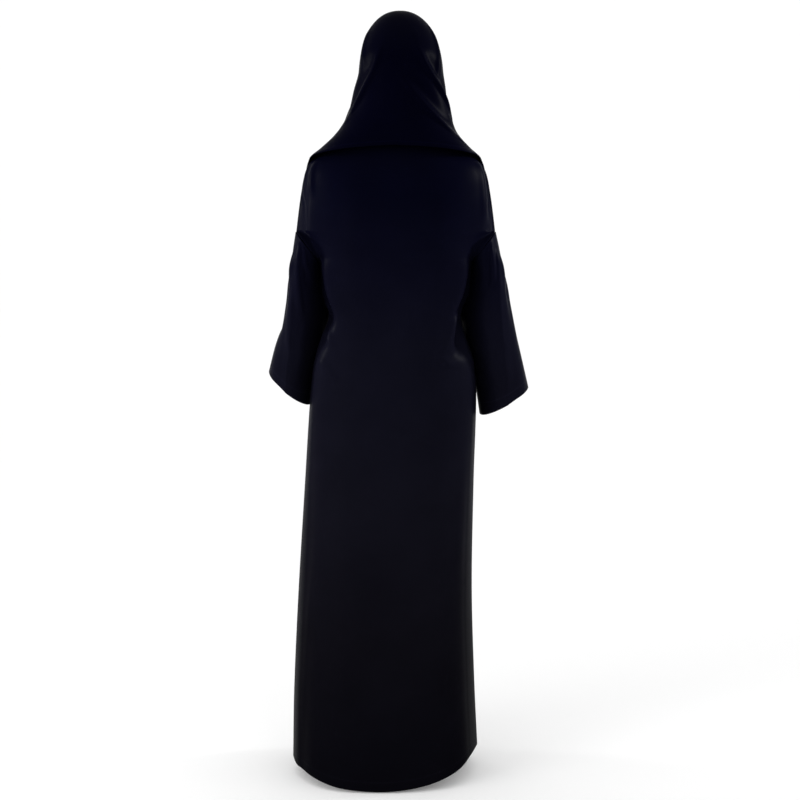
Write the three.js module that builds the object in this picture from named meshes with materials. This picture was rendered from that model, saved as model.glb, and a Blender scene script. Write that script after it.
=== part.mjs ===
// A sleeved chador in its worn, hollow form: a long loose robe of black crepe with a dropped
// shoulder and wide sleeves, and a head veil of the same cloth that falls over its shoulders.
//
// Frame: millimetres, +Z up. The front of the garment faces -Y, so its back is towards +Y, and
// the wearer's left side is towards +X. The origin is where the wearer's crown meets the inside
// of the veil. Heights in the tables below are measured up from the lowest point of the hem.
//
// Each piece that is cut and sewn is one closed wall of cloth: robe_back, robe_front,
// sleeve_left, sleeve_right and veil. Turns round a section are in degrees from the middle of
// the back, positive towards the wearer's left.

import * as THREE from "three";

// ---- Driving dimensions, mm ----

const crownHeight = 1600; // the wearer's crown above the lowest point of the hem
const clothThickness = 2;
const seamGap = 0.3; // between two pieces that are sewn together
const restGap = 0.3; // between the veil and the robe that it lies on
const restBlend = 0.6; // how softly the veil lifts off the robe
const robeTop = 1380; // height above which the veil is clear of the robe

const black = { robe: 0x0b0b10, veil: 0x09090f };

// ---- Small helpers ----

const { sin, cos, abs, max, min, exp, hypot, sign } = Math;
const rad = THREE.MathUtils.degToRad;
const upward = new THREE.Vector3(0, 0, 1);
const clamp = THREE.MathUtils.clamp;
const lerp = THREE.MathUtils.lerp;
const smooth = (from, to, value) => {
  const t = clamp((value - from) / (to - from), 0, 1);
  return t * t * (3 - 2 * t);
};
const steps = (count) => Array.from({ length: count + 1 }, (_, i) => i / count);

// A reader of any column of a table at any value of its key column, on a smooth curve through
// the rows, which stand in rising order of the key.
function reader(table, key) {
  const last = table.length - 1;
  const slope = (i, column) => {
    const below = table[max(i - 1, 0)];
    const above = table[min(i + 1, last)];
    return (above[column] - below[column]) / (above[key] - below[key]);
  };
  return (value, column) => {
    let i = 0;
    while (i < last - 1 && value > table[i + 1][key]) i++;
    const [low, high] = [table[i], table[i + 1]];
    const span = high[key] - low[key];
    const t = clamp((value - low[key]) / span, 0, 1);
    return (
      low[column] * (1 + 2 * t) * (1 - t) ** 2 +
      high[column] * t * t * (3 - 2 * t) +
      slope(i, column) * span * t * (1 - t) ** 2 -
      slope(i + 1, column) * span * t * t * (1 - t)
    );
  };
}

// The point of a unit superellipse in the direction of a turn: across is sideways and deep is
// towards the back or the front. Squareness 2 is a circle, and more is boxier.
function unitSection(turn, squareness) {
  const [s, c] = [sin(rad(turn)), cos(rad(turn))];
  const reach = (abs(s) ** squareness + abs(c) ** squareness) ** (-1 / squareness);
  return { across: reach * s, deep: abs(reach * c) };
}

// How far the cloth stands out of its plain section because of soft folds. A fold runs straight
// from one turn and level to another, fades in over the share rise of that way and out over the
// share fall, running a little past both ends, and is a ridge or, with a negative depth, a trough.
const runPast = 0.3; // share of a fold's way that it runs past each end
function foldDepth(folds, turn, level) {
  let depth = 0;
  for (const fold of folds) {
    const t = (level - fold.fromLevel) / (fold.toLevel - fold.fromLevel);
    if (t < -runPast || t > 1 + runPast) continue;
    const middle = lerp(fold.fromTurn, fold.toTurn, clamp(t, 0, 1));
    const off = (turn - middle) / fold.width;
    const fade = smooth(-runPast, fold.rise, t) * (1 - smooth(1 - fold.fall, 1 + runPast, t));
    depth += fold.depth * fade * exp(-off * off);
  }
  return depth;
}

// A closed wall of cloth round a grid of points, rows of columns. wraps joins the last column to
// the first, pole makes the first row one point, keep says which cells of the grid are cloth, and
// seamed says where the wall ends square to Y, so that it meets the next piece face to face.
function clothWall(grid, { wraps = false, pole = false, keep = () => true, seamed = () => false } = {}) {
  const [rows, columns] = [grid.length, grid[0].length];
  const across = wraps ? columns : columns - 1;
  const at = (i, j) => grid[clamp(i, 0, rows - 1)][wraps ? (j + columns) % columns : clamp(j, 0, columns - 1)];
  const normal = (i, j) => {
    if (pole && i === 0) return new THREE.Vector3(0, 0, 1);
    const along = at(i + 1, j).clone().sub(at(i - 1, j));
    const sideways = at(i, j + 1).clone().sub(at(i, j - 1));
    const out = sideways.cross(along);
    return seamed(i, j) ? out.setY(0).normalize() : out.normalize();
  };
  const id = (i, j) => (pole && i === 0 ? 0 : i * columns + (j % columns));
  const half = clothThickness / 2;
  const position = [];
  for (const side of [half, -half])
    for (let i = 0; i < rows; i++)
      for (let j = 0; j < columns; j++)
        position.push(...at(i, j).clone().addScaledVector(normal(i, j), side));

  const innerStart = rows * columns;
  const index = [];
  const face = (a, b, c) => a !== b && b !== c && c !== a && index.push(a, b, c);
  const edges = new Map();
  for (let i = 0; i < rows - 1; i++)
    for (let j = 0; j < across; j++) {
      if (!keep(i, j)) continue;
      const cell = [id(i, j), id(i, j + 1), id(i + 1, j + 1), id(i + 1, j)];
      face(cell[0], cell[1], cell[2]);
      face(cell[0], cell[2], cell[3]);
      const under = cell.map((corner) => corner + innerStart);
      face(under[0], under[2], under[1]);
      face(under[0], under[3], under[2]);
      cell.forEach((corner, k) => {
        const next = cell[(k + 1) % 4];
        if (corner !== next) edges.set(corner + ":" + next, [corner, next]);
      });
    }
  for (const [a, b] of edges.values()) {
    if (edges.has(b + ":" + a)) continue;
    face(b, a, a + innerStart);
    face(b, a + innerStart, b + innerStart);
  }
  const geometry = new THREE.BufferGeometry();
  geometry.setAttribute("position", new THREE.Float32BufferAttribute(position, 3));
  geometry.setIndex(index);
  return geometry;
}

function piece(name, geometry, colour) {
  const material = new THREE.MeshStandardMaterial({ color: colour, roughness: 0.62, metalness: 0 });
  const mesh = new THREE.Mesh(geometry, material);
  mesh.name = name;
  return mesh;
}

// ---- Robe, from the hem up to the underarm: level sections ----

const underarmHeight = 1085;

const bodySections = [
  { height: 0, halfWidth: 198, shift: 32, back: 162, front: -160, seamY: 0, squareness: 2.3 },
  { height: 150, halfWidth: 193, shift: 34, back: 152, front: -153, seamY: 0, squareness: 2.3 },
  { height: 360, halfWidth: 185, shift: 32, back: 142, front: -144, seamY: 0, squareness: 2.3 },
  { height: 600, halfWidth: 179, shift: 23, back: 133, front: -136, seamY: -1, squareness: 2.4 },
  { height: 800, halfWidth: 175, shift: 14, back: 124, front: -128, seamY: -4, squareness: 2.5 },
  { height: 870, halfWidth: 168, shift: 13, back: 115, front: -125, seamY: -6, squareness: 2.6 },
  { height: 923, halfWidth: 152, shift: 14, back: 107, front: -122, seamY: -8, squareness: 2.7 },
  { height: 968, halfWidth: 139, shift: 10, back: 104, front: -121, seamY: -9, squareness: 2.8 },
  { height: 1020, halfWidth: 149, shift: 9, back: 107, front: -124, seamY: -11, squareness: 2.9 },
  { height: 1085, halfWidth: 156, shift: 9, back: 112, front: -129, seamY: -12, squareness: 3 },
];
const body = reader(bodySections, "height");

// The hem's height all round. It hangs lowest at the back and is drawn up at the wearer's right.
const hemLine = reader(
  [
    { turn: -180, height: 14 },
    { turn: -135, height: 27 },
    { turn: -90, height: 49 },
    { turn: -60, height: 44 },
    { turn: -45, height: 31 },
    { turn: -25, height: 10 },
    { turn: 0, height: 0 },
    { turn: 25, height: 4.5 },
    { turn: 50, height: 18 },
    { turn: 70, height: 23 },
    { turn: 90, height: 24 },
    { turn: 135, height: 18 },
    { turn: 180, height: 14 },
  ],
  "turn",
);
const hemHeight = (turn) => hemLine(turn > 180 ? turn - 360 : turn, "height");

// ---- Robe, from the underarm up to the neck: rows that end on the armhole or the shoulder ----
//
// A row is counted from 0 at the underarm to 1 at the outer end of the dropped shoulder, along
// the armhole seam, and from there to 2 at the neck, along the shoulder line. trunk is the half
// width of the part of a row that lies on the back or the chest.

const armhole = { x: 182.5, y: -12, height: 1117.5, halfWidth: 26.5, halfDepth: 62, rise: 32.5 };

const shoulderLine = [
  { row: 1, x: 209, y: -12, height: 1150 },
  { row: 1.18, x: 204, y: -11, height: 1190 },
  { row: 1.36, x: 198, y: -9, height: 1230 },
  { row: 1.52, x: 190, y: -6, height: 1268 },
  { row: 1.62, x: 178, y: -4, height: 1291 },
  { row: 1.72, x: 158, y: -2, height: 1307 },
  { row: 1.86, x: 121, y: 0, height: 1331 },
  { row: 2, x: 84, y: 0, height: 1354 },
];
const shoulder = reader(shoulderLine, "row");

const centreLine = [
  { row: 0, back: 112, backHeight: 1085, front: -129, frontHeight: 1085, trunk: 156, squareness: 3 },
  { row: 0.5, back: 115, backHeight: 1112, front: -132, frontHeight: 1110, trunk: 157, squareness: 2.9 },
  { row: 1, back: 117, backHeight: 1143, front: -134, frontHeight: 1138, trunk: 160, squareness: 2.7 },
  { row: 1.36, back: 118, backHeight: 1203, front: -131, frontHeight: 1185, trunk: 168, squareness: 2.5 },
  { row: 1.62, back: 110, backHeight: 1266, front: -117, frontHeight: 1236, trunk: 164, squareness: 2.3 },
  { row: 1.82, back: 88, backHeight: 1314, front: -104, frontHeight: 1272, trunk: 124, squareness: 2.2 },
  { row: 2, back: 62, backHeight: 1343, front: -95, frontHeight: 1300, trunk: 84, squareness: 2.2 },
];
const centre = reader(centreLine, "row");
const yokeShift = 9;

// How far from the middle of a panel to its side seam, as a share, the side edge begins to draw
// the cloth sideways and in depth, and where the folds begin to die away into the armhole.
const sideDraw = { across: 0.4, deep: 0.72, folds: 0.78 };
const foldsBelowUnderarm = 0.25; // share of the skirt's rows below which folds reach the side seam

// The folds that show most: the cloth of the back stands off the arms and is caught in at the
// waist, the front hangs from the chest in soft upright folds, and the skirt has long low ones.
const backFolds = [
  { fromTurn: -52, fromLevel: 1250, toTurn: -52, toLevel: 1100, width: 9, depth: -11, rise: 0.5, fall: 0.2 },
  { fromTurn: 52, fromLevel: 1250, toTurn: 54, toLevel: 1100, width: 9, depth: -9, rise: 0.5, fall: 0.2 },
  { fromTurn: -58, fromLevel: 1090, toTurn: -42, toLevel: 905, width: 10, depth: 9, rise: 0.2, fall: 0.3 },
  { fromTurn: -74, fromLevel: 1080, toTurn: -56, toLevel: 900, width: 9, depth: -15, rise: 0.3, fall: 0.4 },
  { fromTurn: 60, fromLevel: 1090, toTurn: 48, toLevel: 950, width: 10, depth: 7, rise: 0.2, fall: 0.5 },
  { fromTurn: 74, fromLevel: 1080, toTurn: 62, toLevel: 930, width: 9, depth: -11, rise: 0.3, fall: 0.5 },
  { fromTurn: 50, fromLevel: 960, toTurn: 56, toLevel: 780, width: 10, depth: 4, rise: 0.4, fall: 0.6 },
  { fromTurn: -34, fromLevel: 620, toTurn: -42, toLevel: 0, width: 12, depth: 6, rise: 0.6, fall: 0 },
  { fromTurn: -64, fromLevel: 700, toTurn: -66, toLevel: 0, width: 9, depth: -5, rise: 0.6, fall: 0 },
  { fromTurn: 62, fromLevel: 700, toTurn: 60, toLevel: 0, width: 10, depth: -6, rise: 0.5, fall: 0 },
  { fromTurn: 24, fromLevel: 560, toTurn: 28, toLevel: 0, width: 14, depth: 4, rise: 0.7, fall: 0 },
];
const frontFolds = [
  { fromTurn: 126, fromLevel: 1080, toTurn: 138, toLevel: 0, width: 8, depth: 9, rise: 0.5, fall: 0 },
  { fromTurn: 144, fromLevel: 1110, toTurn: 156, toLevel: 0, width: 7, depth: -9, rise: 0.4, fall: 0 },
  { fromTurn: 165, fromLevel: 1060, toTurn: 172, toLevel: 0, width: 8, depth: 9, rise: 0.4, fall: 0 },
  { fromTurn: 186, fromLevel: 1010, toTurn: 189, toLevel: 0, width: 8, depth: -8, rise: 0.5, fall: 0 },
  { fromTurn: 206, fromLevel: 1100, toTurn: 207, toLevel: 0, width: 9, depth: 10, rise: 0.4, fall: 0 },
  { fromTurn: 226, fromLevel: 1060, toTurn: 224, toLevel: 0, width: 7, depth: -8, rise: 0.5, fall: 0 },
  { fromTurn: 240, fromLevel: 1080, toTurn: 242, toLevel: 0, width: 8, depth: 7, rise: 0.5, fall: 0 },
  { fromTurn: 108, fromLevel: 840, toTurn: 112, toLevel: 0, width: 8, depth: -6, rise: 0.4, fall: 0 },
  { fromTurn: 112, fromLevel: 1060, toTurn: 112, toLevel: 980, width: 11, depth: -7, rise: 0.2, fall: 0.3 },
  { fromTurn: 248, fromLevel: 1060, toTurn: 248, toLevel: 980, width: 11, depth: -7, rise: 0.2, fall: 0.3 },
];

// One point of the robe. Below the underarm the row is negative, from -1 at the hem. side is
// "back" or "front", and the turn is 0 to 90 either way round from the middle of that side.
function robePoint(side, turn, row) {
  const facing = side === "back" ? 1 : -1;
  const fullTurn = side === "back" ? turn : 180 - turn;
  const edge = { x: 0, y: 0, height: 0 };
  let [middleY, middleHeight, seamY, squareness, trunk] = [0, 0, 0, 0, 0];
  let [shift, level] = [yokeShift, 0];
  if (row <= 0) {
    const hem = hemHeight(fullTurn);
    level = underarmHeight * (row + 1);
    edge.height = lerp(underarmHeight, hem, -row);
    middleHeight = edge.height;
    edge.x = body(level, "halfWidth");
    edge.y = seamY = body(level, "seamY");
    trunk = edge.x;
    middleY = body(level, side);
    squareness = body(level, "squareness");
    shift = body(level, "shift");
  } else {
    middleY = centre(row, side);
    middleHeight = centre(row, side + "Height");
    squareness = centre(row, "squareness");
    trunk = centre(row, "trunk");
    level = centre(row, "backHeight");
    seamY = armhole.y;
    if (row < 1) {
      const along = rad(180 * row - 90);
      edge.x = armhole.x + armhole.halfWidth * sin(along);
      edge.y = armhole.y + facing * armhole.halfDepth * cos(along);
      edge.height = armhole.height + armhole.rise * sin(along);
    } else {
      edge.x = shoulder(row, "x");
      edge.y = seamY = shoulder(row, "y");
      edge.height = shoulder(row, "height");
    }
  }
  const unit = unitSection(turn, squareness);
  const toSide = abs(turn / 90);
  const x = trunk * unit.across + sign(turn) * (edge.x - trunk) * smooth(sideDraw.across, 1, toSide);
  const y = lerp(seamY + (middleY - seamY) * unit.deep, edge.y, smooth(sideDraw.deep, 1, toSide));
  const height = edge.height + (middleHeight - edge.height) * unit.deep ** 2;
  const toEdge = 1 - smooth(sideDraw.folds, 1, toSide);
  const held = row > 0 ? toEdge : lerp(toEdge, 1, smooth(0, foldsBelowUnderarm, -row));
  const fold = foldDepth(side === "back" ? backFolds : frontFolds, fullTurn, level) * held;
  const out = new THREE.Vector2(unit.across, facing * unit.deep).normalize();
  return new THREE.Vector3(
    shift + x + out.x * fold,
    y + out.y * fold + (facing * seamGap) / 2,
    height,
  );
}

const waistStart = 0.62; // of the way up to the underarm, from where the rows lie closer
function robePanel(side, columns, skirtRows, waistRows, armholeRows, shoulderRows) {
  const rows = [
    ...steps(skirtRows).map((t) => t * waistStart - 1),
    ...steps(waistRows).slice(1).map((t) => (t - 1) * (1 - waistStart)),
    ...steps(armholeRows).slice(1),
    ...steps(shoulderRows).slice(1).map((t) => 1 + t),
  ];
  const turns = steps(columns).map((t) => lerp(-90, 90, t));
  const grid = rows.map((row) => turns.map((turn) => robePoint(side, turn, row)));
  const seamed = (i, j) => j % columns === 0 && (rows[i] <= 0 || rows[i] >= 1);
  return clothWall(grid, { seamed });
}

// ---- Sleeves: rings from the armhole down to the cuff ----
//
// slant is how much higher the outer side of a ring is than its middle, dip how much lower its
// back is, and twist turns the ring so that its front comes in towards the body.

const sleeveRings = {
  left: [
    { ring: 0, x: 193.5, y: -12, height: 1116, halfWidth: 25.2, halfDepth: 62, slant: 32, dip: 0, twist: 0 },
    { ring: 0.15, x: 195.5, y: -16, height: 1072, halfWidth: 30, halfDepth: 62, slant: 24, dip: 4, twist: 13 },
    { ring: 0.42, x: 198, y: -24, height: 1000, halfWidth: 36, halfDepth: 65, slant: 18, dip: 14, twist: 22 },
    { ring: 0.62, x: 206, y: -31, height: 944, halfWidth: 36, halfDepth: 68, slant: 18, dip: 20, twist: 23 },
    { ring: 0.72, x: 214.5, y: -36, height: 914, halfWidth: 39.5, halfDepth: 69, slant: 21, dip: 18, twist: 17 },
    { ring: 0.82, x: 223.5, y: -41, height: 881, halfWidth: 40.5, halfDepth: 71, slant: 25, dip: 13, twist: 13 },
    { ring: 1, x: 234.5, y: -50, height: 818, halfWidth: 43.5, halfDepth: 74, slant: 35, dip: 4, twist: 7 },
  ],
  right: [
    { ring: 0, x: 175.5, y: -12, height: 1116, halfWidth: 25.2, halfDepth: 62, slant: 32, dip: 0, twist: 0 },
    { ring: 0.15, x: 179.5, y: -16, height: 1070, halfWidth: 32, halfDepth: 62, slant: 24, dip: 4, twist: 13 },
    { ring: 0.42, x: 184, y: -22, height: 992, halfWidth: 44.5, halfDepth: 65, slant: 18, dip: 12, twist: 22 },
    { ring: 0.62, x: 194, y: -28, height: 931, halfWidth: 47, halfDepth: 68, slant: 18, dip: 20, twist: 23 },
    { ring: 0.72, x: 202, y: -32, height: 898, halfWidth: 46.5, halfDepth: 69, slant: 20, dip: 17, twist: 17 },
    { ring: 0.82, x: 209, y: -36, height: 861, halfWidth: 47.5, halfDepth: 71, slant: 23, dip: 11, twist: 15 },
    { ring: 1, x: 222, y: -44, height: 790, halfWidth: 50, halfDepth: 74, slant: 29, dip: 1, twist: 7 },
  ],
};
const sleeveFolds = [
  { fromTurn: 28, fromLevel: 0.02, toTurn: 60, toLevel: 0.36, width: 15, depth: 5, rise: 0.2, fall: 0.5 },
  { fromTurn: 66, fromLevel: 0.0, toTurn: 40, toLevel: 0.5, width: 14, depth: -5, rise: 0.5, fall: 0.4 },
  { fromTurn: 96, fromLevel: 0.3, toTurn: 96, toLevel: 1, width: 20, depth: 3, rise: 0.5, fall: 0 },
  { fromTurn: 20, fromLevel: 0.5, toTurn: 14, toLevel: 1, width: 18, depth: -4, rise: 0.6, fall: 0 },
  { fromTurn: 150, fromLevel: 0.2, toTurn: 140, toLevel: 1, width: 16, depth: -5, rise: 0.5, fall: 0 },
  { fromTurn: 190, fromLevel: 0.3, toTurn: 180, toLevel: 1, width: 18, depth: 4, rise: 0.5, fall: 0 },
  { fromTurn: 222, fromLevel: 0.32, toTurn: 222, toLevel: 0.8, width: 20, depth: 7.8, rise: 0.2, fall: 0.2 },
];

// One point of a sleeve. The turn starts at the back, and 90 is its outer side.
function sleevePoint(side, turn, ring) {
  const read = reader(sleeveRings[side], "ring");
  const outward = side === "left" ? 1 : -1;
  const held = smooth(0, 0.2, ring);
  const fold = foldDepth(sleeveFolds, turn, ring) * held;
  const [s, c] = [sin(rad(turn)), cos(rad(turn))];
  const across = (read(ring, "halfWidth") + fold) * s;
  const deep = (read(ring, "halfDepth") + fold) * c;
  const twist = rad(read(ring, "twist"));
  return new THREE.Vector3(
    outward * (read(ring, "x") + across * cos(twist) + deep * sin(twist)),
    read(ring, "y") + deep * cos(twist) - across * sin(twist),
    read(ring, "height") + read(ring, "slant") * s - read(ring, "dip") * c,
  );
}

function sleeveTube(side, columns, rows) {
  const turns = steps(columns).slice(0, -1).map((t) => t * 360);
  const grid = steps(rows).map((ring) => turns.map((turn) => sleevePoint(side, turn, ring)));
  return clothWall(grid, { wraps: true });
}

// ---- Veil: level sections from the crown down, with a rounded crown and an open face ----

const veilTop = crownHeight + seamGap + clothThickness / 2;
const domeStart = 1480;
const domeRoundness = 2.2;

const veilSections = [
  { height: 960, halfWidth: 176, shift: 5, back: 128, front: -150, squareness: 2.2 },
  { height: 1100, halfWidth: 188, shift: 6, back: 128, front: -144, squareness: 2.3 },
  { height: 1200, halfWidth: 196, shift: 8, back: 128, front: -137, squareness: 2.5 },
  { height: 1260, halfWidth: 192, shift: 9, back: 127, front: -125, squareness: 2.6 },
  { height: 1300, halfWidth: 178, shift: 10, back: 112, front: -110, squareness: 2.5 },
  { height: 1320, halfWidth: 156, shift: 9, back: 109, front: -98, squareness: 2.3 },
  { height: 1345, halfWidth: 131, shift: 7, back: 107, front: -89, squareness: 2.2 },
  { height: 1370, halfWidth: 115, shift: 4, back: 105, front: -84, squareness: 2.1 },
  { height: 1400, halfWidth: 104, shift: 2, back: 104, front: -84, squareness: 2.1 },
  { height: 1440, halfWidth: 95.5, shift: 0, back: 104, front: -87, squareness: 2.2 },
  { height: 1480, halfWidth: 87, shift: -2, back: 104, front: -90, squareness: 2.3 },
  { height: 1602, halfWidth: 82, shift: 0, back: 100, front: -88, squareness: 2.2 },
];
const veil = reader(veilSections, "height");

// The face opening, as a turn to each side of the middle of the front and a height.
const face = { turn: 42, height: 1466, halfHeight: 88 };

// The lower edge is level across the back and falls over the shoulders to the chest.
const veilEdge = reader(
  [
    { turn: 0, height: 1314 },
    { turn: 30, height: 1312 },
    { turn: 60, height: 1308 },
    { turn: 84, height: 1301 },
    { turn: 98, height: 1284 },
    { turn: 108, height: 1244 },
    { turn: 126, height: 1182 },
    { turn: 145, height: 1096 },
    { turn: 163, height: 1010 },
    { turn: 180, height: 988 },
  ],
  "turn",
);
const veilEdgeHeight = (turn) => veilEdge(abs(turn > 180 ? turn - 360 : turn), "height");

const veilFolds = [
  { fromTurn: 30, fromLevel: 1520, toTurn: 70, toLevel: 1345, width: 7, depth: 5, rise: 0.4, fall: 0.2 },
  { fromTurn: 44, fromLevel: 1510, toTurn: 84, toLevel: 1350, width: 8, depth: -5, rise: 0.5, fall: 0.3 },
  { fromTurn: -36, fromLevel: 1540, toTurn: -80, toLevel: 1370, width: 7, depth: 5, rise: 0.4, fall: 0.2 },
  { fromTurn: -24, fromLevel: 1460, toTurn: -72, toLevel: 1325, width: 7, depth: 5, rise: 0.4, fall: 0.2 },
  { fromTurn: -36, fromLevel: 1450, toTurn: -78, toLevel: 1345, width: 7, depth: -5, rise: 0.5, fall: 0.3 },
  { fromTurn: 196, fromLevel: 1350, toTurn: 214, toLevel: 960, width: 7, depth: 7, rise: 0.3, fall: 0 },
  { fromTurn: 178, fromLevel: 1345, toTurn: 186, toLevel: 960, width: 7, depth: -6, rise: 0.4, fall: 0 },
  { fromTurn: 162, fromLevel: 1350, toTurn: 152, toLevel: 960, width: 8, depth: 8, rise: 0.3, fall: 0 },
  { fromTurn: 144, fromLevel: 1340, toTurn: 132, toLevel: 1040, width: 7, depth: -6, rise: 0.4, fall: 0 },
];

// The farthest that the robe reaches round about a direction, from a point on the veil's axis.
const seeker = new THREE.Raycaster();
const lookRound = 4.5; // degrees to each side
const lookUp = 8; // mm above and below, on the rows that are level
const lookExcess = 1.2; // mm by which looking round a point overstates the robe there
function reachOf(meshes, from, direction, spread) {
  let farthest = 0;
  for (const up of [-spread, 0, spread])
    for (const turn of [-lookRound, 0, lookRound]) {
      const way = direction.clone().applyAxisAngle(upward, rad(turn));
      seeker.set(from.clone().setZ(from.z + up), way);
      const hits = seeker.intersectObjects(meshes);
      if (hits.length) farthest = max(farthest, hits[hits.length - 1].distance);
    }
  return farthest;
}

function veilPoint(turn, height, robe, spread = lookUp) {
  const dome = max(0, (height - domeStart) / (veilTop - domeStart));
  const round = (1 - min(dome, 1) ** domeRoundness) ** (1 / domeRoundness);
  const facing = abs(turn > 180 ? turn - 360 : turn) <= 90 ? 1 : -1;
  const unit = unitSection(turn, veil(height, "squareness"));
  const fullTurn = turn < -90 ? turn + 360 : turn;
  const fold = foldDepth(veilFolds, fullTurn, height);
  const x = veil(height, "halfWidth") * unit.across * round;
  const y = veil(height, facing > 0 ? "back" : "front") * unit.deep * round;
  const flat = new THREE.Vector2(x, y);
  const reach = flat.length();
  const from = new THREE.Vector3(veil(height, "shift"), 0, height);
  if (reach < 1) return from.setZ(height);
  const direction = new THREE.Vector3(x / reach, y / reach, 0);
  const open = reach + fold * round;
  const robeReach = height < robeTop ? reachOf(robe, from, direction, spread) : 0;
  if (robeReach === 0) return from.addScaledVector(direction, open);
  const least = robeReach - lookExcess + clothThickness / 2 + restGap;
  return from.addScaledVector(direction, (open + least + hypot(open - least, restBlend)) / 2);
}

// Cells of the grid round the face are drawn from a square hole to an oval one, and this dies
// away by ovalReach times the size of the opening.
const ovalReach = 1.5;
function facePlace(turn, height) {
  const p = (turn - 180) / face.turn;
  const q = (height - face.height) / face.halfHeight;
  const ring = max(abs(p), abs(q));
  if (ring === 0) return { turn, height };
  const toOval = lerp(ring / hypot(p, q), 1, smooth(1, ovalReach, ring));
  return {
    turn: 180 + p * toOval * face.turn,
    height: face.height + q * toOval * face.halfHeight,
  };
}

// The rows of the veil are at these heights over the crown and below the face, with even rows
// beside the face between them, and even rows from the last of them to the lower edge.
const crownRows = [veilTop, 1600.2, 1595, 1586, 1572];
const neckRows = [1360, 1340];
const faceRows = 8;
const capeRows = 12;
const faceColumns = 16;
const backColumns = 32; // from one side of the face opening round the back to the other
const lookPast = 0.5; // mm past half a row of the cape that the robe is looked for

function veilHood(robe) {
  const [faceTop, faceFoot] = [face.height + face.halfHeight, face.height - face.halfHeight];
  const [faceStart, faceEnd] = [180 - face.turn, 180 + face.turn];
  const heights = [...crownRows, ...steps(faceRows).map((t) => lerp(faceTop, faceFoot, t)), ...neckRows];
  const turns = [
    ...steps(faceColumns).map((t) => lerp(faceStart, faceEnd, t)),
    ...steps(backColumns).slice(1, -1).map((t) => lerp(faceEnd, faceStart + 360, t)),
  ];
  const wrapTurn = (turn) => (turn > 270 ? turn - 360 : turn);
  const grid = heights.map((height) =>
    turns.map((turn) => {
      const place = facePlace(turn, height);
      return veilPoint(wrapTurn(place.turn), place.height, robe);
    }),
  );
  const capeTop = neckRows[neckRows.length - 1];
  for (const t of steps(capeRows).slice(1))
    grid.push(
      turns.map((turn) => {
        const place = facePlace(turn, capeTop);
        const drop = place.height - veilEdgeHeight(wrapTurn(turn));
        const spread = lookPast + drop / capeRows / 2;
        return veilPoint(wrapTurn(place.turn), place.height - drop * t, robe, spread);
      }),
    );
  const faceRow = crownRows.length;
  const keep = (i, j) => i < faceRow || i >= faceRow + faceRows || j >= faceColumns;
  return clothWall(grid, { wraps: true, pole: true, keep });
}

// ---- The whole garment ----

const garment = new THREE.Group();
const robe = [
  piece("robe_back", robePanel("back", 28, 8, 13, 7, 11), black.robe),
  piece("robe_front", robePanel("front", 28, 8, 11, 7, 11), black.robe),
  piece("sleeve_left", sleeveTube("left", 24, 12), black.robe),
  piece("sleeve_right", sleeveTube("right", 24, 12), black.robe),
];
for (const mesh of robe) {
  mesh.material.side = THREE.DoubleSide;
  mesh.updateMatrixWorld();
}
garment.add(...robe, piece("veil", veilHood(robe), black.veil));
garment.position.z = -crownHeight;

export default garment;
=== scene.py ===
import math

import bmesh
import bpy
import numpy as np
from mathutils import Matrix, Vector
from mathutils.bvhtree import BVHTree


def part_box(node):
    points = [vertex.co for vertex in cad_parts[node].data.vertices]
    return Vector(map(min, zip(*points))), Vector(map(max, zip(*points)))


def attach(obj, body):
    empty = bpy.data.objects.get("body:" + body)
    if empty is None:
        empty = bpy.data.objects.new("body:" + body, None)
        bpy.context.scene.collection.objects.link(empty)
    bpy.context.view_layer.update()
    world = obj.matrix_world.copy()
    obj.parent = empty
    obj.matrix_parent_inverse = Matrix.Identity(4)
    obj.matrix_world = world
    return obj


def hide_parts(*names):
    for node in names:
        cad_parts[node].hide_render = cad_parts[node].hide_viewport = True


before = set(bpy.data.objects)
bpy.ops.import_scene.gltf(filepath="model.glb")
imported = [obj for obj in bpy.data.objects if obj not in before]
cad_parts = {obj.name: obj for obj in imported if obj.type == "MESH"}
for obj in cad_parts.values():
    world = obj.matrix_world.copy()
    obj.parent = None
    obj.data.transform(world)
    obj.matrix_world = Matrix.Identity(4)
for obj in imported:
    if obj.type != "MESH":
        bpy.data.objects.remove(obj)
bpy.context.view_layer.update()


# ---- The view: from behind the garment, a little above its middle, looking slightly down ----
# Heights in this file are in metres above the lowest point of the robe's hem, and hem_level is
# that point in the frame. Turns are degrees from the middle of the back towards the wearer's left.

hem_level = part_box("robe_back")[0][2]
eye_distance, eye_height, eye_pitch = 3.2, 1.06, 4.755

view = bpy.data.cameras.new("view")
view.lens, view.sensor_width = 68.25, 36.0
camera = bpy.data.objects.new("view", view)
camera.location = (0, eye_distance, hem_level + eye_height)
camera.rotation_euler = (math.radians(90 - eye_pitch), 0, math.pi)
bpy.context.scene.collection.objects.link(camera)
bpy.context.scene.camera = camera


# ---- The room: a pale floor just under the hem, a pale surround and soft studio lights ----

def paint(name, **sockets):
    """A new material and its shader, with the named sockets set."""
    material = bpy.data.materials.new(name)
    material.use_nodes = True
    shader = material.node_tree.nodes["Principled BSDF"]
    for socket, value in sockets.items():
        shader.inputs[socket.replace("_", " ")].default_value = value
    return material, shader


floor_gap = 0.004
studio_width, floor_reach, sweep_radius, wall_height = 24.0, 7.0, 3.0, 9.0
sweep_steps = 24

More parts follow.
